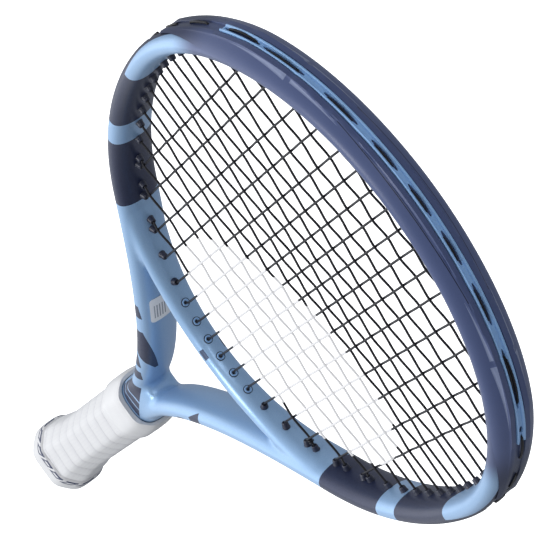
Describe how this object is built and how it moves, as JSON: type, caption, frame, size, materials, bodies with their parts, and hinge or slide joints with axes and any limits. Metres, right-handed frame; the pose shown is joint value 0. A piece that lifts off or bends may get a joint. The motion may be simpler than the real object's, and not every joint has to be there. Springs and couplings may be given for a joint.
{
  "type": "tennis racket",
  "caption": "Hollow composite tennis racket with a strung oval head, open throat, octagonal wrapped handle, rubber collar and butt trap door.",
  "frame": {"origin": "middle of the butt end's flat face", "axes": "+X across the head, +Y from the butt to the tip, +Z out of the string bed"},
  "size_m": [0.265, 0.6856, 0.035],
  "materials": {
    "frame_paint": "satin",
    "bumper_plastic": "satin",
    "insert_plastic": "satin",
    "grommet_plastic": "satin",
    "string": "semi-gloss",
    "pallet_foam": "rigid foam",
    "cap_plastic": "satin",
    "staple_steel": "plain",
    "underlay_tape": "matte",
    "grip_cushion": "perforated, matte",
    "collar_rubber": "satin",
    "label_film": "matte"
  },
  "bodies": {
    "racket": {"frame_hairpin": "frame_paint", "throat_bridge": "frame_paint", "bumper_guard": "bumper_plastic", "channel_insert": "insert_plastic", "side_grommets_left": "grommet_plastic", "side_grommets_right": "grommet_plastic", "throat_grommets": "insert_plastic", "main_string": "string", "cross_string": "string", "pallet_top": "pallet_foam", "pallet_bottom": "pallet_foam", "butt_cap": "cap_plastic", "cap_staple_top": "staple_steel", "cap_staple_bottom": "staple_steel", "grip_tack": "staple_steel", "grip_underlay": "underlay_tape", "grip_wrap": "grip_cushion", "finishing_tape": "underlay_tape", "inspection_label": "label_film"},
    "trap_door": {"trap_door": "cap_plastic"},
    "rubber_collar": {"rubber_collar": "collar_rubber"}
  },
  "joints": [
    {"name": "trap_door_slide", "type": "slide", "parent": "racket", "child": "trap_door", "axis": [0, -1, 0], "range_m": [0, 0.015]},
    {"name": "collar_slide", "type": "slide", "parent": "racket", "child": "rubber_collar", "axis": [0, 1, 0], "range_m": [0, 0.005]}
  ]
}
